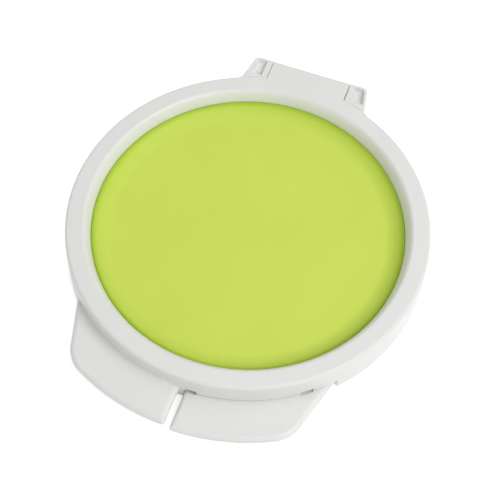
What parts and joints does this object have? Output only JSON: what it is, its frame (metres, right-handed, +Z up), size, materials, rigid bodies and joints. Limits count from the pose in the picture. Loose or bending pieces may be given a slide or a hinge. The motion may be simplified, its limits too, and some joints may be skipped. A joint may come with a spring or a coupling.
{
  "type": "wet palette",
  "caption": "Round clamshell wet palette: tray with sponge and paper, hinged ring lid with a soft recessed panel and two thumb tabs.",
  "frame": {"origin": "on the ring's axis, in the plane that the feet rest on", "axes": "+Z up, +Y towards the hinge, -Y towards the two thumb tabs, +X to the tray's tab"},
  "size_m": [0.1508, 0.174, 0.017],
  "materials": {
    "white_plastic": "satin moulded white plastic",
    "lime_panel": "soft satin lime green plastic",
    "sponge_foam": "damp open-cell sponge",
    "palette_paper": "matt palette paper",
    "steel_pin": "drawn stainless steel",
    "foot_rubber": "matt grey rubber",
    "gasket_silicone": "translucent grey silicone"
  },
  "bodies": {
    "base": {"base_tray": "white_plastic", "sponge": "sponge_foam", "palette_paper": "palette_paper", "hinge_pin": "steel_pin", "foot_front_left": "foot_rubber", "foot_front_right": "foot_rubber", "foot_rear_left": "foot_rubber", "foot_rear_right": "foot_rubber", "foot_centre": "foot_rubber"},
    "lid": {"lid_ring": "white_plastic", "lid_panel": "lime_panel", "panel_retainer": "white_plastic", "rim_gasket": "gasket_silicone"}
  },
  "joints": [
    {"name": "lid_hinge", "type": "hinge", "parent": "base", "child": "lid", "pos_m": [0, 0.0794, 0.0141], "axis": [-1, 0, 0], "range_deg": [0, 115]}
  ]
}
